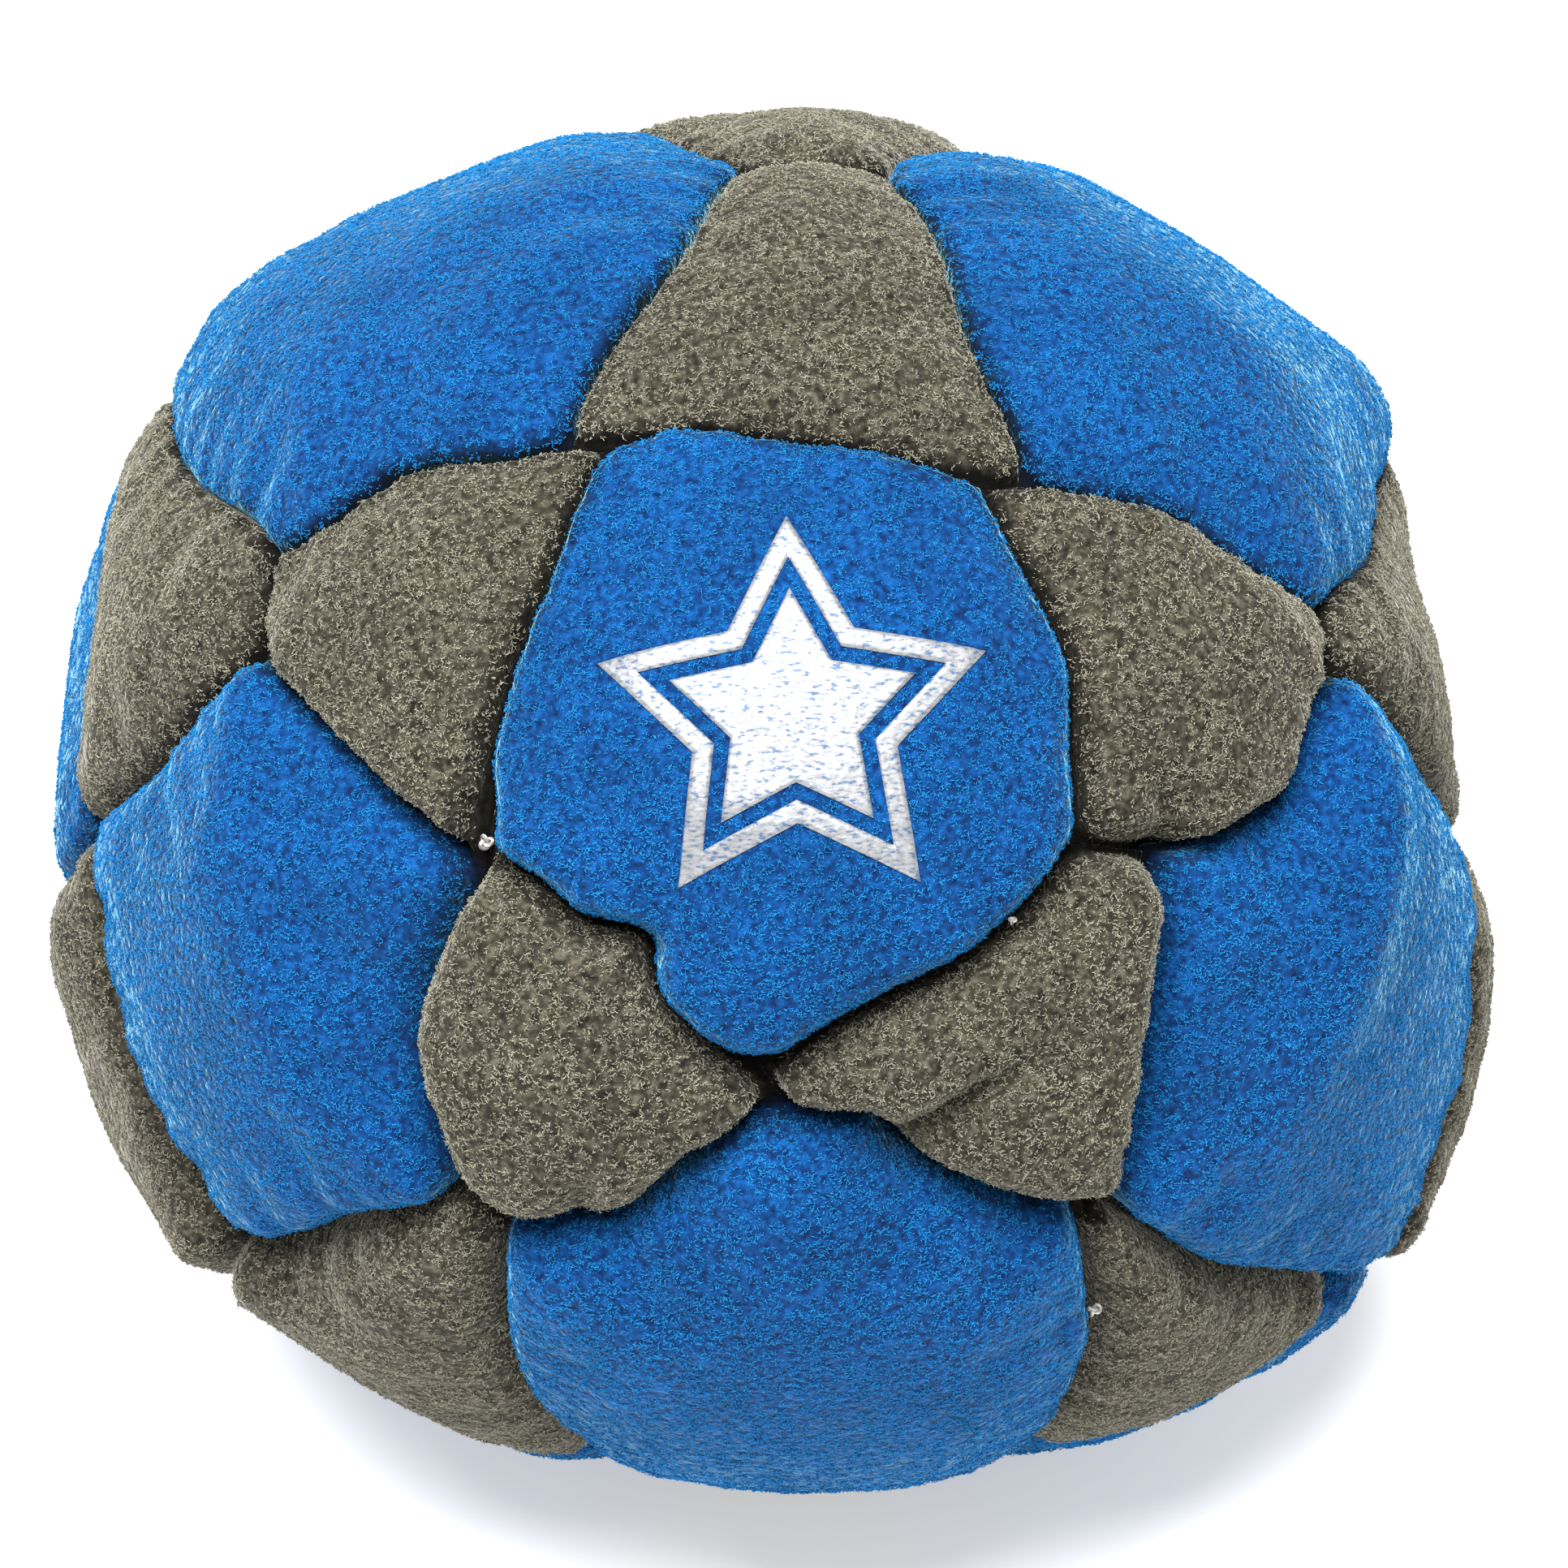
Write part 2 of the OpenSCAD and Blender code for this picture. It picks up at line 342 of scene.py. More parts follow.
def swell_height(directions):
    """What the bag's swells and hollows add to its height."""
    total = np.zeros(len(directions))
    for tilt, turn, radius, height in SWELLS:
        angle = np.degrees(np.arccos(np.clip(directions @ spoke(tilt, turn), -1, 1)))
        total += height * np.exp(-(angle / radius) ** 2)
    return total


def fold_height(name, directions):
    """What a panel's folds and dents add to its height."""
    total = np.zeros(len(directions))
    for names, tilt, turn, heading, length, width, height in FOLDS:
        if name in names.split():
            middle = spoke(tilt, turn)
            around = unit(np.cross(middle, OUT))
            away = np.cross(middle, around)
            offset = (directions - middle) * BAG_R
            long_side = offset @ (cos(heading) * away + sin(heading) * around)
            short_side = offset @ (cos(heading) * around - sin(heading) * away)
            facing = directions @ middle > 0
            total += facing * height * np.exp(-(long_side / length) ** 2 - (short_side / width) ** 2)
    return total


def step_height(name, start, end):
    """How far a panel's shoulder stands over the one across a seam."""
    for blue, one, other, height in STEPS:
        if {start, end} == {(blue, one), (blue, other)}:
            return height if name == BLUE_NAMES[blue] else -height
    return 0


# ---------------------------------------------------------------- Filling out: cloth simulation

# Metres of the simulation for each millimetre, which makes it ten times the real size
SIM_SCALE = 0.01
SIM_FRAMES = 20
SIM_PRESSURE = 4.0
# How much larger the cut cloth is than the even ball that it starts as
CLOTH_EXCESS = 0.045
# Distance from a seam within which the cloth is held
SEAM_HOLD = 0.8
# Points along a seam that this distance is measured from
HOLD_POINTS = 61
# How softly the bag rounds off around the flat that it rests on
REST_SOFTNESS = 0.5


def seam_nearness(directions):
    """Distance of each direction from the nearest seam."""
    along = np.linspace(0, 1, HOLD_POINTS)
    nearest = np.full(len(directions), -1.0)
    for home in range(12):
        ring = blue_corners(home)
        seams = list(zip(ring, ring[1:] + ring[:1]))
        seams += [((home, other), (other, home)) for _, other in ring]
        for start, end in seams:
            nearest = np.maximum(nearest, (directions @ seam_line(start, end, along).T).max(axis=1))
    return BAG_R * np.arccos(np.clip(nearest, -1, 1))


def fill_out():
    """The bag's cloth blown out between its held seams, as a tree to measure its heights in."""
    shape = bmesh.new()
    bmesh.ops.create_icosphere(shape, subdivisions=6, radius=SHOULDER_R * SIM_SCALE)
    mesh = bpy.data.meshes.new("bag_cloth")
    shape.to_mesh(mesh)
    shape.free()
    bag = bpy.data.objects.new("bag_cloth", mesh)
    bpy.context.scene.collection.objects.link(bag)
    directions = unit(np.array([vertex.co[:] for vertex in mesh.vertices]))
    held = np.nonzero(seam_nearness(directions) < SEAM_HOLD)[0]
    bag.vertex_groups.new(name="held").add(held.tolist(), 1.0, "REPLACE")
    cloth = bag.modifiers.new("cloth", "CLOTH")
    cloth.settings.quality = 6
    cloth.settings.mass = 0.2
    cloth.settings.tension_stiffness = 20
    cloth.settings.compression_stiffness = 5
    cloth.settings.shear_stiffness = 5
    cloth.settings.bending_stiffness = 0.3
    cloth.settings.use_pressure = True
    cloth.settings.uniform_pressure_force = SIM_PRESSURE
    cloth.settings.shrink_min = -CLOTH_EXCESS
    cloth.settings.shrink_max = -CLOTH_EXCESS
    cloth.settings.vertex_group_mass = "held"
    cloth.settings.effector_weights.gravity = 0
    cloth.collision_settings.use_collision = False
    cloth.point_cache.frame_end = SIM_FRAMES
    bag.modifiers.new("smoother", "SUBSURF").levels = 1
    for number in range(1, SIM_FRAMES + 1):
        bpy.context.scene.frame_set(number)
    filled = bag.evaluated_get(bpy.context.evaluated_depsgraph_get()).to_mesh()
    tree = BVHTree.FromPolygons([vertex.co[:] for vertex in filled.vertices],
                                [face.vertices[:] for face in filled.polygons])
    bpy.data.objects.remove(bag)
    bpy.context.scene.frame_set(1)
    return tree


CLOTH = fill_out()


def cloth_height(directions):
    """Distance of the filled cloth from the middle of the bag."""
    heights = []
    for direction in directions:
        place = CLOTH.ray_cast(Vector(direction), Vector(-direction))[0]
        heights.append(place.length / SIM_SCALE if place else SHOULDER_R)
    return np.array(heights)


def plain_height(edge, blue):
    crown, reach = (BLUE_CROWN, BLUE_REACH) if blue else (GREY_CROWN, GREY_REACH)
    fullness = np.clip(edge / reach, 0, 1)
    return SHOULDER_R + crown * (1 - (1 - fullness) ** CROWN_POWER)


def between(values, sag):
    """A measure by how far the bag sags, from its values where it is drawn flat and where it sags."""
    return values[0] + (values[1] - values[0]) * sag


def skin(name, corners, directions):
    """Points of a panel's outer face around the bag's middle, and their distance from a seam."""
    blue = name.startswith("blue")
    ways, places, lengths = seam_ways(corners, directions)
    distances = np.linalg.norm(ways, axis=2)
    edge = -EDGE_SOFTNESS * np.log(np.sum(np.exp(-distances / EDGE_SOFTNESS), axis=0))
    edge = np.maximum(edge, LEAST_EDGE)
    height = plain_height(edge, blue) if CLOTH is None else cloth_height(directions)
    sag = sagging(directions)
    width = between(GROOVE_WIDTH, sag)
    drop = 1 - np.clip((edge - between(GROOVE_GAP, sag)) / width, 0, 1)
    height -= between(GROOVE_DEPTH, sag) * (1 - np.sqrt(1 - drop ** 2))
    height -= between(ROUND_DEPTH, sag) * (1 - np.clip(edge / ROUND_WIDTH, 0, 1)) ** 2
    sideways = np.zeros_like(directions)
    seed = BLUE_NAMES.index(name) if blue else 20 + GREY_NAMES.index(name)
    strength = 0.5 + 0.5 * noise(directions * BAG_R, GATHER_PATCH, 3)
    for k, (way, distance, place, length) in enumerate(zip(ways, distances, places, lengths)):
        wave = np.sin(2 * math.pi * place / GATHER_SIZE + 6.28 * _table[31 * seed + k]) * strength
        height += GATHER_HEIGHT * wave * np.exp(-((distance - width) / GATHER_REACH) ** 2)
        step = step_height(name, corners[k], corners[(k + 1) % len(corners)])
        amount = step * smooth_step(np.minimum(place, length - place), 0, STEP_ENDS)
        beside = distance / STEP_REACH * np.exp(1 - distance / STEP_REACH)
        height += 0.5 * amount * beside
        lean = np.maximum(LEAN * amount, LOWER_LEAN * LEAN * amount) * beside
        sideways += lean[:, None] * way / np.maximum(distance, 0.05)[:, None]
    points = directions * BAG_R
    for size, rise, number in UNEVENNESS:
        height += rise * noise(points, size, number)
    height += swell_height(directions) + fold_height(name, directions)
    height = np.maximum(height, CORE_R + LEAST_ROOM)
    return rest(directions * height[:, None] + sideways), edge


def rest(points):
    """The points with those under the bag pressed flat onto the surface that it rests on."""
    lift = MIDDLE[2] + points[:, 2]
    flat = REST_SOFTNESS * np.logaddexp(0, lift / REST_SOFTNESS)
    pressed = points.copy()
    pressed[:, 2] = flat - MIDDLE[2]
    return pressed


# ---------------------------------------------------------------- Panels

BLUE_ROWS = 56
GREY_ROWS = 56
# Rows of a grey panel's edge that go along half of one of its short seams
SHORT_ROWS = 5
# Room between two panels at their seam, and the way out to the seam that it is a share of
CLEARANCE = 0.02
PANEL_REACH = 9
# How much closer the rows stand towards a panel's edge
ROW_SHIFT = 0.15
# Places of the inside's two rings on the way out from the middle, and how much thinner the cloth is there
INSIDE_SHARES = (0.7, 0.35)
INSIDE_THINNING = 0.1


def blue_edge(corners, fan, along):
    """Fifth of a blue panel's edge: one long seam."""
    return seam_line(corners[fan], corners[(fan + 1) % 5], along)


def grey_edge(corners, fan, along):
    """Third of a grey panel's edge: half a short seam, a long one, and half the next short one."""
    before, first, last, after = (corners[(2 * fan + k) % 6] for k in range(4))
    share = SHORT_ROWS / GREY_ROWS
    middle = np.clip((along - share) / (1 - 2 * share), 0, 1)
    line = seam_line(first, last, middle)
    starting, ending = along < share - 1e-9, along > 1 - share + 1e-9
    if starting.any():
        line[starting] = seam_line(before, first, 0.5 + 0.5 * along[starting] / share)
    if ending.any():
        line[ending] = seam_line(last, after, 0.5 * (along[ending] - 1 + share) / share)
    return line


def lattice(corners, rows):
    """Directions of a panel's points in rows around its middle, triangles, and number of edge points."""
    fans, edge = (5, blue_edge) if len(corners) == 5 else (3, grey_edge)
    ends = [edge(corners, fan, np.linspace(0, 1, rows + 1)[:-1]) for fan in range(fans)]
    middle = unit(np.concatenate(ends).mean(axis=0))
    directions, triangles = [middle[None, :]], []
    for row in range(1, rows + 1):
        out = row / rows + ROW_SHIFT * math.sin(math.pi * row / rows)
        out *= 1 - CLEARANCE / PANEL_REACH
        ring = np.concatenate([edge(corners, fan, np.arange(row) / row) for fan in range(fans)])
        directions.append(unit((1 - out) * middle + out * ring))
        inner, outer = 1 + fans * (row - 1) * (row - 2) // 2, 1 + fans * row * (row - 1) // 2
        for fan in range(fans):
            step = np.arange(row)
            a = outer + (fan * row + step) % (fans * row)
            b = outer + (fan * row + step + 1) % (fans * row)
            if row == 1:
                triangles.append(np.stack([np.zeros_like(a), a, b], axis=1))
                continue
            c = inner + (fan * (row - 1) + step) % (fans * (row - 1))
            triangles.append(np.stack([c, a, b], axis=1))
            d = inner + (fan * (row - 1) + step[:-1] + 1) % (fans * (row - 1))
            triangles.append(np.stack([c[:-1], b[:-1], d], axis=1))
    return np.concatenate(directions), np.concatenate(triangles), fans * rows


def ring_faces(start, other, count):
    """Two triangles for each step around two rings of points."""
    step = np.arange(count)
    after = (step + 1) % count
    a, b, c, d = start + step, start + after, other + after, other + step
    return np.concatenate([np.stack([a, d, c], axis=1), np.stack([a, c, b], axis=1)])


def shell(name, corners, rows):
    """A panel as a closed form: its face, the seam allowance turned in along its edge, and its inside."""
    directions, triangles, count = lattice(corners, rows)
    outside, opening = skin(name, corners, directions)
    points, faces = [outside], [triangles]
    edge, edge_points = directions[-count:], outside[-count:]
    middle = directions[0]
    total = len(outside)
    last = total - count
    inward = unit(middle - edge)
    allowance_end = np.minimum(1, CORE_R / np.linalg.norm(edge_points, axis=1))[:, None]
    under = FABRIC_T / np.linalg.norm(edge_points, axis=1)[:, None]
    rings = [edge_points * (1 + allowance_end) / 2,
             edge_points * allowance_end,
             edge_points * allowance_end + FABRIC_T * inward,
             edge_points * (1 - under) + FABRIC_T * inward]
    for share in INSIDE_SHARES:
        turned = unit((1 - share) * middle + share * edge)
        depth = FABRIC_T * (1 - INSIDE_THINNING * share)
        rings.append(turned * (np.linalg.norm(edge_points, axis=1) - depth)[:, None])
    for ring in rings:
        points.append(ring)
        faces.append(ring_faces(last, total, count))
        last = total
        total += count
    points.append((outside[0] * (1 - FABRIC_T / np.linalg.norm(outside[0])))[None, :])
    step = np.arange(count)
    faces.append(np.stack([last + step, np.full(count, total), last + (step + 1) % count], axis=1))
    return np.concatenate(points), np.concatenate(faces), triangles, opening


def mesh_object(name, points, faces, material, opening=()):
    """A smooth mesh piece from points in millimetres, and the distance of its outer ones from a seam."""
    mesh = bpy.data.meshes.new(name)
    placed = (points + MIDDLE) * MM
    mesh.from_pydata(placed.tolist(), [], faces.tolist())
    mesh.shade_smooth()
    mesh.materials.append(material)
    if len(opening):
        distance = mesh.attributes.new("seam_distance", "FLOAT", "POINT")
        distance.data.foreach_set("value", np.append(opening, np.zeros(len(points) - len(opening))))
    piece = bpy.data.objects.new(name, mesh)
    bpy.context.scene.collection.objects.link(piece)
    return piece


# ---------------------------------------------------------------- Materials

# Scales of the grains: their number to a metre, more or less
TUFT_SCALE = 3200
BRUSHED_SCALE = 260
CRAZING_SCALE = 7500
CREASE_SCALE = 1800
TWIST_SCALE = 900
SAND_SCALE = 1600
# Painted shade of the cloth and the fibres where the nap is brushed the other way, and of the cloth deep in
# a seam
CLOTH_BRUSH_PAINTED_SHADE = 0.8
FIBRE_BRUSH_PAINTED_SHADE = 0.78
SEAM_PAINTED_SHADE = 0.04
# Distances from a seam over which the painted seam shade fades to the cloth's full colour
SEAM_FADE = (0.1, 0.9)
# Heights of the bumps, in metres
TUFT_BUMP = 0.0002
CREASE_BUMP = 0.0001
TWIST_BUMP = 0.00008
SAND_BUMP = 0.0004
# The pale edge that the nap shows where it turns away
CLOTH_SHEEN = 0.7
FIBRE_SHEEN = 0.12
SHEEN_ROUGHNESS = 0.3
BLUE_SHEEN = (0.35, 0.8, 1.0)
GREY_SHEEN = (0.55, 0.53, 0.46)
# Strength of the gloss
CLOTH_SPECULAR = 0.1
FIBRE_SPECULAR = 0.08


def grey(value):
    """A colour without a hue."""
    return (value, value, value)


def new_material(name, roughness):
    """A material with its nodes, links and main shader."""
    material = bpy.data.materials.new(name)
    material.use_nodes = True
    nodes, links = material.node_tree.nodes, material.node_tree.links
    shader = nodes["Principled BSDF"]
    shader.inputs["Roughness"].default_value = roughness
    return material, nodes, links, shader


def noise_node(nodes, links, scale, detail, squeeze=(1, 1, 1)):
    """Noise over a piece, with grains that can be drawn out along an axis."""
    place = nodes.new("ShaderNodeTexCoord")
    squeezed = nodes.new("ShaderNodeMapping")
    squeezed.inputs["Scale"].default_value = squeeze
    grains = nodes.new("ShaderNodeTexNoise")
    grains.inputs["Scale"].default_value = scale
    grains.inputs["Detail"].default_value = detail
    links.new(place.outputs["Object"], squeezed.inputs["Vector"])
    links.new(squeezed.outputs["Vector"], grains.inputs["Vector"])
    return grains.outputs["Fac"]


def ramp_node(nodes, links, value, stops):
    """Colours by a value, from stops of a place and a colour."""
    ramp = nodes.new("ShaderNodeValToRGB")
    elements = ramp.color_ramp.elements
    elements[0].position, elements[0].color = stops[0][0], (*stops[0][1], 1)
    elements[1].position, elements[1].color = stops[-1][0], (*stops[-1][1], 1)
    for place, colour in stops[1:-1]:
        elements.new(place).color = (*colour, 1)
    links.new(value, ramp.inputs["Fac"])
    return ramp.outputs["Color"]


def multiply_node(nodes, links, colour, other):
    """One colour times another."""
    mix = nodes.new("ShaderNodeMix")
    mix.data_type = "RGBA"
    mix.blend_type = "MULTIPLY"
    mix.inputs["Factor"].default_value = 1
    links.new(colour, mix.inputs[6])
    links.new(other, mix.inputs[7])
    return mix.outputs[2]


def bump_node(nodes, links, shader, height, strength, distance):
    """Bumps on a shader's surface."""
    bump = nodes.new("ShaderNodeBump")
    bump.inputs["Strength"].default_value = strength
    bump.inputs["Distance"].default_value = distance
    links.new(height, bump.inputs["Height"])
    links.new(bump.outputs["Normal"], shader.inputs["Normal"])


def paint_brush_shade(nodes, links, colour, least):
    """A colour with painted shade in the broad patches where the nap is brushed the other way."""
    patches = noise_node(nodes, links, BRUSHED_SCALE, 2)
    brushed = ramp_node(nodes, links, patches, [(0.3, grey(least)), (0.7, grey(1.0))])
    return multiply_node(nodes, links, colour, brushed)


def set_nap_shine(shader, specular, sheen, tint):
    """The weak shine of a nap."""
    shader.inputs["Specular IOR Level"].default_value = specular
    shader.inputs["Sheen Weight"].default_value = sheen
    shader.inputs["Sheen Roughness"].default_value = SHEEN_ROUGHNESS
    shader.inputs["Sheen Tint"].default_value = (*tint, 1)


def nap_material(name, dark, mean, light, sheen):
    """Felted cloth under the fibres: painted shade in its tufts' pits, its broad brushed patches and its
    seams.
    """
    material, nodes, links, shader = new_material(name, 0.95)
    # Painted shade and light: the cloth is dark in the pits, where the bump is low, and pale on the tufts
    tufts = noise_node(nodes, links, TUFT_SCALE, 3)
    colour = ramp_node(nodes, links, tufts, [(0.3, dark), (0.5, mean), (0.7, light)])
    # Painted shade deep in the seams: the cloth darkens towards a seam by its distance from it
    distance = nodes.new("ShaderNodeAttribute")
    distance.attribute_name = "seam_distance"
    fade = [(SEAM_FADE[0], grey(SEAM_PAINTED_SHADE)), (SEAM_FADE[1], grey(1.0))]
    shade = ramp_node(nodes, links, distance.outputs["Fac"], fade)
    colour = multiply_node(nodes, links, paint_brush_shade(nodes, links, colour, CLOTH_BRUSH_PAINTED_SHADE), shade)
    links.new(colour, shader.inputs["Base Color"])
    bump_node(nodes, links, shader, tufts, 0.8, TUFT_BUMP)
    set_nap_shine(shader, CLOTH_SPECULAR, CLOTH_SHEEN, sheen)
    return material


def fibre_material(name, root, tip, dark, light, sheen):
    """Fibres with painted shade at the root and a painted sheen at the tip, each of its own shade, brushed
    in broad patches.
    """
    material, nodes, links, shader = new_material(name, 0.8)
    hair = nodes.new("ShaderNodeHairInfo")
    shade = ramp_node(nodes, links, hair.outputs["Random"], [(0.0, dark), (1.0, light)])
    # Painted shade at the roots, deep among the fibres, and a painted pale sheen at the tips
    stops = [(0.05, root), (0.5, grey(1.0)), (1.0, tip)]
    depth = ramp_node(nodes, links, hair.outputs["Intercept"], stops)
    colour = paint_brush_shade(nodes, links, multiply_node(nodes, links, shade, depth), FIBRE_BRUSH_PAINTED_SHADE)
    links.new(colour, shader.inputs["Base Color"])
    set_nap_shine(shader, FIBRE_SPECULAR, FIBRE_SHEEN, sheen)
    return material


def foil_material():
    """Pressed silver foil, crazed over the nap."""
    material, nodes, links, shader = new_material("silver_foil", 0.5)
    crazing = noise_node(nodes, links, CRAZING_SCALE, 4, (0.4, 1, 1))
    silver = [(0.36, (0.03, 0.07, 0.15)), (0.43, (0.17, 0.18, 0.19)), (0.62, (0.26, 0.26, 0.27))]
    links.new(ramp_node(nodes, links, crazing, silver), shader.inputs["Base Color"])
    metal = ramp_node(nodes, links, crazing, [(0.36, grey(0.1)), (0.43, grey(0.45))])
    links.new(metal, shader.inputs["Metallic"])
    bump_node(nodes, links, shader, noise_node(nodes, links, CREASE_SCALE, 3), 0.6, CREASE_BUMP)
    return material


def thread_material():
    """Off-white twisted thread."""
    material, nodes, links, shader = new_material("cotton_thread", 0.75)
    place = nodes.new("ShaderNodeTexCoord")
    twist = nodes.new("ShaderNodeTexWave")
    twist.bands_direction = "DIAGONAL"
    twist.inputs["Scale"].default_value = TWIST_SCALE
    twist.inputs["Distortion"].default_value = 1.5
    links.new(place.outputs["Object"], twist.inputs["Vector"])
    stops = [(0.2, (0.2, 0.19, 0.17)), (0.8, (0.42, 0.41, 0.39))]
    links.new(ramp_node(nodes, links, twist.outputs["Fac"], stops), shader.inputs["Base Color"])
    bump_node(nodes, links, shader, twist.outputs["Fac"], 0.6, TWIST_BUMP)
    return material


def sand_material():
    """Grains of tan sand."""
    material, nodes, links, shader = new_material("sand", 0.9)
    place = nodes.new("ShaderNodeTexCoord")
    grains = nodes.new("ShaderNodeTexVoronoi")
    grains.inputs["Scale"].default_value = SAND_SCALE
    links.new(place.outputs["Object"], grains.inputs["Vector"])
    stops = [(0.1, (0.28, 0.19, 0.11)), (0.5, (0.52, 0.40, 0.26)), (0.9, (0.75, 0.66, 0.52))]
    links.new(ramp_node(nodes, links, grains.outputs["Color"], stops), shader.inputs["Base Color"])
    bump_node(nodes, links, shader, grains.outputs["Distance"], 1.0, SAND_BUMP)
    return material


# Dark, mean and light: the painted shade in the tufts' pits up to their pale tops
BLUE_NAP = nap_material("blue_nap", dark=(0.0005, 0.009, 0.045), mean=(0.001, 0.03, 0.12),
                        light=(0.003, 0.062, 0.22), sheen=BLUE_SHEEN)
GREY_NAP = nap_material("grey_nap", dark=(0.008, 0.007, 0.005), mean=(0.03, 0.027, 0.019),
                        light=(0.085, 0.078, 0.056), sheen=GREY_SHEEN)
# Root colours are painted shade, and tip colours over 1 are a painted pale sheen
BLUE_FIBRES = fibre_material("blue_fibres", root=(0.06, 0.12, 0.2), tip=(1.8, 1.6, 1.3),
                             dark=(0.002, 0.08, 0.27), light=(0.008, 0.148, 0.385), sheen=BLUE_SHEEN)
GREY_FIBRES = fibre_material("grey_fibres", root=grey(0.06), tip=grey(1.5),
                             dark=(0.09, 0.086, 0.063), light=(0.245, 0.235, 0.178), sheen=GREY_SHEEN)
FOIL = foil_material()
THREAD = thread_material()
SAND = sand_material()

# ---------------------------------------------------------------- Nap: loose fibres over the cloth

# Fibres on each square millimetre before the pits between the tufts are left out
NAP_DENSITY = 86
NAP_LENGTH = (0.12, 0.32)
NAP_RADIUS = 0.022
NAP_POINTS = 5
# Angle of a fibre above the cloth at its root and at its tip
NAP_LEAN = (80, -5)
# Size of the tufts that the fibres gather into, and of the patches in which they are thicker or thinner
TUFT_SIZE = 0.26
PATCH_SIZE = 2.2
PATCH_SHARE = 0.2
# The level between the tufts below which there are no fibres is a random one between these
PIT_LEVELS = (-0.5, -0.05)
# Distance from a seam within which there are no fibres, where it is drawn flat and where the bag sags, and
# the random factors on it
NAP_MARGIN = (0.2, 0.45)
MARGIN_FACTORS = (0.7, 1.3)
# Step over which the slope of the tufts is measured
SLOPE_STEP = 0.12
# What turns the fibres: broad swirls, the slope of the tufts, and chance
SWIRL_SIZE = 2.4
SWIRL_SHARE = 0.25
SLOPE_SHARE = 0.3
RANDOM_SHARE = 0.8
# Factor on a fibre's length at the tufts' middle level, and what a higher level adds to it
TUFT_LENGTH = (0.8, 0.25)
# Largest turn of a fibre from root to tip, and how much its angle above the cloth varies, in degrees
CURL = 200
LEAN_SPREAD = 14
# How deep the fibres are rooted in the cloth
ROOT_DEPTH = 0.05
# Radius of a fibre's tip as a share of its root's
TIP_SHARE = 0.5


def scatter(points, triangles, opening, generator):
    """Random places on triangles away from the seams, with the normal at each."""
    a, b, c = (points[triangles[:, k]] for k in range(3))
    cross = np.cross(b - a, c - a)
    area = np.linalg.norm(cross, axis=1) / 2
    chosen = generator.choice(len(triangles), int(area.sum() * NAP_DENSITY), p=area / area.sum())
    u, v = generator.random_sample((2, len(chosen)))
    over = u + v > 1
    u[over], v[over] = 1 - u[over], 1 - v[over]
    places = a[chosen] + u[:, None] * (b - a)[chosen] + v[:, None] * (c - a)[chosen]
    normals = cross[chosen] / (2 * area[chosen])[:, None]
    margin = between(NAP_MARGIN, sagging(unit(places)))
    kept = opening[triangles[chosen, 0]] > margin * generator.uniform(*MARGIN_FACTORS, len(chosen))
    kept &= tufts(places) > generator.uniform(*PIT_LEVELS, len(chosen))
    return places[kept], normals[kept]


def tufts(places):
    """Where the fibres gather, from -1 in the pits to 1."""
    return noise(places, TUFT_SIZE, 14) + PATCH_SHARE * noise(places, PATCH_SIZE, 15)


def fibres(places, normals, generator):
    """Curved fibres that lean together into tufts, as rows of points."""
    count = len(places)
    here = tufts(places)
    rises = [tufts(places + SLOPE_STEP * axis) - here for axis in np.eye(3)]
    slope = np.stack(rises, axis=1) / SLOPE_STEP
    swirl = np.stack([SWIRL_SHARE * noise(places, SWIRL_SIZE, seed) for seed in (11, 12, 13)], axis=1)
    swirl += SLOPE_SHARE * slope + RANDOM_SHARE * generator.normal(size=(count, 3))
    along = unit(swirl - np.sum(swirl * normals, axis=1)[:, None] * normals)
    side = np.cross(normals, along)
    length = generator.uniform(*NAP_LENGTH, count) * (TUFT_LENGTH[0] + TUFT_LENGTH[1] * here)
    curl = generator.uniform(-CURL, CURL, count)
    steps = NAP_POINTS - 1
    rows = [places - ROOT_DEPTH * normals]
    for step in range(steps):
        share = (step + 0.5) / steps
        lean = NAP_LEAN[0] + (NAP_LEAN[1] - NAP_LEAN[0]) * share
        lean = lean + generator.normal(scale=LEAN_SPREAD, size=count)
        turn = curl * share
        ahead = cos(turn)[:, None] * along + sin(turn)[:, None] * side
        move = cos(lean)[:, None] * ahead + sin(lean)[:, None] * normals
        rows.append(rows[-1] + (length / steps)[:, None] * move)
    return np.stack(rows, axis=1)


def nap_object(name, curves, material):
    """Loose fibres as hair curves, which the render shows and the mesh export leaves out."""
    count = len(curves)
    data = bpy.data.hair_curves.new(name)
    data.add_curves([NAP_POINTS] * count)
    placed = ((curves + MIDDLE) * MM).astype(np.float32)
    data.attributes["position"].data.foreach_set("vector", placed.ravel())
    taper = np.linspace(1, TIP_SHARE, NAP_POINTS) * NAP_RADIUS * MM
    radius = data.attributes.get("radius") or data.attributes.new("radius", "FLOAT", "POINT")
    radius.data.foreach_set("value", np.tile(taper, count).astype(np.float32))
    data.materials.append(material)
    piece = bpy.data.objects.new(name, data)
    bpy.context.scene.collection.objects.link(piece)
    return piece


# ---------------------------------------------------------------- Foil star

# Size of the star over its points, and the radius of the corners between them as a share of the points'
STAR_D = 16.0
STAR_WAIST = 0.52
OUTLINE_W = 0.8
OUTLINE_GAP = 0.6
FOIL_T = 0.08
# Height of the foil over the cloth
FOIL_LIFT = 0.06
# Spacing of the points along the star's edges, and numbers of rows across the outline and the middle
FOIL_STEP = 0.25
OUTLINE_ROWS = 5
MIDDLE_ROWS = 13
# How far in the rows of the middle go, as a share
MIDDLE_FILL = 0.9
# How far around the foil no fibres stand
FOIL_MARGIN = 0.05
WAIST_R = STAR_D / 2 * STAR_WAIST
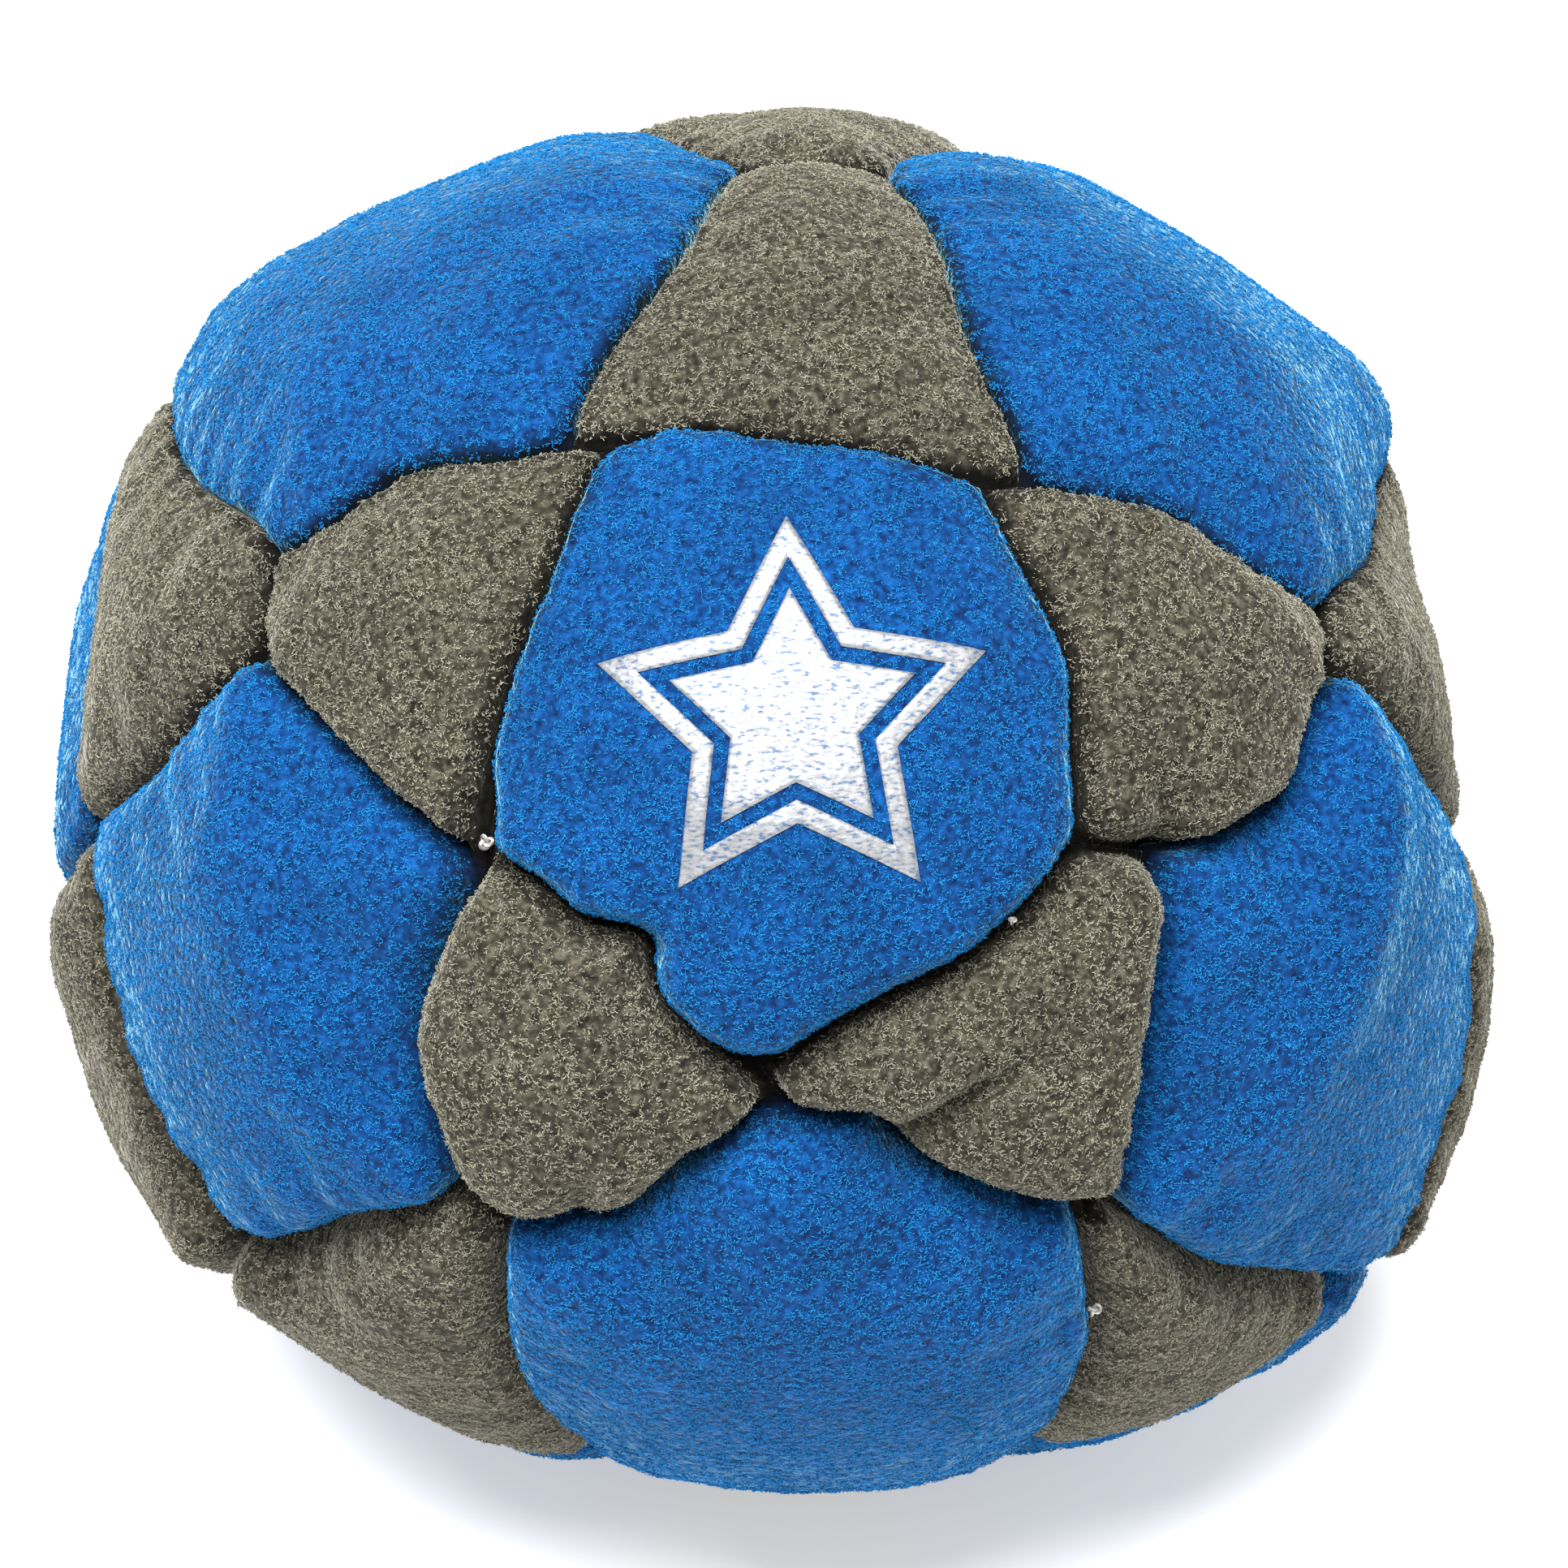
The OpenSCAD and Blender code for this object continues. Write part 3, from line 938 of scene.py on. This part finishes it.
# Length of the star's edges, and their distance from its middle
SIDE_LENGTH = math.hypot(WAIST_R * sin(36), STAR_D / 2 - WAIST_R * cos(36))
STAR_EDGE = STAR_D / 2 * WAIST_R * sin(36) / SIDE_LENGTH


def star_margins(places):
    """How far inside the star's outline each place in front of the bag is, measured from its edges."""
    across, up = places @ RIGHT, places @ UP
    turn = np.degrees(np.arctan2(across, up)) % 72
    turn = np.minimum(turn, 72 - turn)
    outline = STAR_D / 2 * WAIST_R * sin(36) / (STAR_D / 2 * sin(turn) + WAIST_R * sin(36 - turn))
    return STAR_EDGE * (1 - np.hypot(across, up) / outline)


def under_foil(places):
    """Whether the foil covers places on the front panel."""
    margins = star_margins(places)
    outline = (margins > -FOIL_MARGIN) & (margins < OUTLINE_W + FOIL_MARGIN)
    return outline | (margins > OUTLINE_W + OUTLINE_GAP - FOIL_MARGIN)


def star_line(margin):
    """Points along the star's outline drawn in by a margin, across and up."""
    turns = 36 * np.arange(10)
    radii = np.where(np.arange(10) % 2 == 0, STAR_D / 2, WAIST_R)
    ends = np.stack([radii * sin(turns), radii * cos(turns)], axis=1)
    steps = round(np.linalg.norm(ends[1] - ends[0]) / FOIL_STEP)
    line = [ends + share * (np.roll(ends, -1, axis=0) - ends) for share in np.arange(steps) / steps]
    return np.stack(line, axis=1).reshape(-1, 2) * (1 - margin / STAR_EDGE)


def on_front(flat, lift):
    """Points over the front panel's skin at places across and up from its middle."""
    deep = np.sqrt(BAG_R ** 2 - np.sum(flat ** 2, axis=1))
    directions = unit(flat[:, :1] * RIGHT + flat[:, 1:] * UP + deep[:, None] * OUT)
    points, _ = skin("blue_front", blue_corners(0), directions)
    return points + lift * unit(points)


def ring_body(rings, looped):
    """A closed form through rings of points, looped back to the first or closed at both ends."""
    count = len(rings[0])
    points = np.concatenate(rings)
    faces = [ring_faces(k * count, (k + 1) * count, count) for k in range(len(rings) - 1)]
    step = np.arange(count)
    last, total = (len(rings) - 1) * count, len(points)
    if looped:
        faces.append(ring_faces(last, 0, count))
    else:
        points = np.concatenate([points, [rings[0].mean(axis=0), rings[-1].mean(axis=0)]])
        after = (step + 1) % count
        faces.append(np.stack([step, after, np.full(count, total)], axis=1))
        faces.append(np.stack([last + after, last + step, np.full(count, total + 1)], axis=1))
    faces = np.concatenate(faces)
    volume = np.linalg.det(points[faces] - points[0]).sum()
    return points, faces if volume > 0 else faces[:, ::-1]


def foil_pieces():
    """The print's outline, and the solid star inside it."""
    outer = np.linspace(0, OUTLINE_W, OUTLINE_ROWS)
    inner = np.linspace(OUTLINE_W + OUTLINE_GAP, MIDDLE_FILL * STAR_EDGE, MIDDLE_ROWS)
    made = []
    for margins, looped in ((outer, True), (inner, False)):
        top = [on_front(star_line(margin), FOIL_LIFT) for margin in margins]
        bottom = [on_front(star_line(margin), FOIL_LIFT - FOIL_T) for margin in margins]
        made.append(ring_body(top[::-1] + bottom, looped))
    return made


# ---------------------------------------------------------------- Knots

# Knots left outside: a seam's ends, its share from the first, size of the knot
KNOTS = [((0, 2), (2, 0), 0.6, 0.27), ((0, 5), (0, 1), 0.26, 0.15), ((1, 5), (1, 10), 0.3, 0.25)]
# Radius of a knot's thread as a share of the knot's size, and points along it and around it
KNOT_THREAD_R = 0.3
KNOT_POINTS = 60
KNOT_SIDES = 8
# How far beside the seam the height of the cloth under a knot is measured, and the knot's height over it as
# a share of its size
KNOT_SIDE = 0.6
KNOT_LIFT = 0.4


def knot(start, end, share, size):
    """A loose overhand knot of thread that lies over a seam."""
    direction = seam_line(start, end, np.array([share]))[0]
    panel = BLUE_NAMES[start[0]]
    side = unit(BLUE_AXES[start[0]] - direction)
    nudged = unit(direction + KNOT_SIDE / BAG_R * side)
    points, _ = skin(panel, blue_corners(start[0]), nudged[None, :])
    middle = direction * (np.linalg.norm(points[0]) + KNOT_LIFT * size)
    across = unit(np.cross(direction, [0.3, 0.2, 0.9]))
    upward = np.cross(across, direction)
    turn = np.linspace(0, 360, KNOT_POINTS + 1)[:-1]
    loop = [sin(turn) + 2 * sin(2 * turn), cos(turn) - 2 * cos(2 * turn), -1.2 * sin(3 * turn)]
    loop = np.stack(loop, axis=1) * size / 3
    ahead = unit(np.roll(loop, -1, axis=0) - np.roll(loop, 1, axis=0))
    beside = unit(np.cross(ahead, [0.1, 0.2, 1.0]))
    above = np.cross(ahead, beside)
    around = 360 / KNOT_SIDES * np.arange(KNOT_SIDES)
    rings = []
    for k in range(KNOT_POINTS):
        circle = cos(around)[:, None] * beside[k] + sin(around)[:, None] * above[k]
        ring = loop[k] + KNOT_THREAD_R * size * circle
        rings.append(middle + ring[:, :1] * across + ring[:, 1:2] * upward + ring[:, 2:] * direction)
    return ring_body(rings, True)


# ---------------------------------------------------------------- Making the pieces

panels = []
for index, name in enumerate(BLUE_NAMES):
    panels.append((name, blue_corners(index), BLUE_ROWS, BLUE_NAP, "blue_nap"))
for face, name in zip(FACES, GREY_NAMES):
    panels.append((name, grey_corners(face), GREY_ROWS, GREY_NAP, "grey_nap"))

generator = np.random.RandomState(5)
hairs = {"blue_nap": [], "grey_nap": []}
for name, corners, rows, material, slot in panels:
    points, faces, outer_faces, opening = shell(name, corners, rows)
    places, normals = scatter(points, outer_faces, opening, generator)
    if name == "blue_front":
        bare = under_foil(places)
        places, normals = places[~bare], normals[~bare]
    hairs[slot].append(fibres(places, normals, generator))
    piece = mesh_object(name + "_cloth", points, faces, material, opening)
    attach(piece, "root")
    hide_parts(name)

for slot, material in (("blue_nap", BLUE_FIBRES), ("grey_nap", GREY_FIBRES)):
    piece = nap_object(slot + "_fibres", np.concatenate(hairs[slot]), material)
    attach(piece, "root")

for name, (points, faces) in zip(("foil_outline", "foil_middle"), foil_pieces()):
    piece = mesh_object(name, points, faces, FOIL)
    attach(piece, "root")
    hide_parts("foil_star")

for number, row in enumerate(KNOTS, start=1):
    piece = mesh_object(f"thread_knot_{number}", *knot(*row), THREAD)
    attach(piece, "root")
    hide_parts("thread_knots")

for name, material in (("seam_thread", THREAD), ("sand_fill", SAND)):
    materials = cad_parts[name].data.materials
    materials.clear()
    materials.append(material)

# ---------------------------------------------------------------- Floor, light and camera

# Metres and degrees around the middle of the bag, with the lens in millimetres
CAMERA_DISTANCE = 0.9
CAMERA_AZIMUTH = -2.4
CAMERA_ELEVATION = 45.3
CAMERA_LENS = 523
# How far to the right of the bag's middle and above it the camera aims, in millimetres
CAMERA_SIDE = 0.35
CAMERA_LIFT = 1.03
# Half the size of the floor, in metres
FLOOR_REACH = 3.0
FLOOR_WHITE = 0.9
FLOOR_GLOW = 0.45
SKY_STRENGTH = 0.5


def make_floor():
    """A white table, lit a little from within."""
    mesh = bpy.data.meshes.new("floor")
    signs = [(-1, -1), (1, -1), (1, 1), (-1, 1)]
    mesh.from_pydata([(FLOOR_REACH * x, FLOOR_REACH * y, 0) for x, y in signs], [], [(0, 1, 2, 3)])
    floor = bpy.data.objects.new("floor", mesh)
    bpy.context.scene.collection.objects.link(floor)
    material, nodes, links, shader = new_material("floor", 0.9)
    shader.inputs["Base Color"].default_value = (*grey(FLOOR_WHITE), 1)
    shader.inputs["Emission Color"].default_value = (1, 1, 1, 1)
    shader.inputs["Emission Strength"].default_value = FLOOR_GLOW
    mesh.materials.append(material)


def area_light(name, azimuth, elevation, distance, size, power):
    """A round soft lamp that points at where the bag lies."""
    data = bpy.data.lights.new(name, "AREA")
    data.shape = "DISK"
    data.size = size
    data.energy = power
    light = bpy.data.objects.new(name, data)
    back = Vector((sin(azimuth) * cos(elevation), -cos(azimuth) * cos(elevation), sin(elevation)))
    light.location = back * distance
    light.rotation_euler = (-back).to_track_quat("-Z", "Y").to_euler()
    bpy.context.scene.collection.objects.link(light)


def make_camera():
    """The camera of the photograph."""
    data = bpy.data.cameras.new("camera")
    data.lens = CAMERA_LENS
    data.sensor_width = 36
    data.clip_start = 0.05
    data.clip_end = 20
    camera = bpy.data.objects.new("camera", data)
    back = np.array([sin(CAMERA_AZIMUTH) * cos(CAMERA_ELEVATION),
                     -cos(CAMERA_AZIMUTH) * cos(CAMERA_ELEVATION), sin(CAMERA_ELEVATION)])
    across = unit(np.cross([0, 0, 1], back))
    upward = np.cross(back, across)
    aim = (MIDDLE + CAMERA_SIDE * across + CAMERA_LIFT * upward) * MM
    camera.location = Vector(aim + CAMERA_DISTANCE * back)
    camera.rotation_euler = Vector(-back).to_track_quat("-Z", "Y").to_euler()
    bpy.context.scene.collection.objects.link(camera)
    bpy.context.scene.camera = camera


def make_world():
    """Even white light from all around."""
    world = bpy.data.worlds.new("world")
    world.use_nodes = True
    background = world.node_tree.nodes["Background"]
    background.inputs["Color"].default_value = (1, 1, 1, 1)
    background.inputs["Strength"].default_value = SKY_STRENGTH
    bpy.context.scene.world = world
    bpy.context.scene.view_settings.view_transform = "Standard"


make_floor()
area_light("top_light", azimuth=-35, elevation=79, distance=0.8, size=0.7, power=25)
make_camera()
make_world()
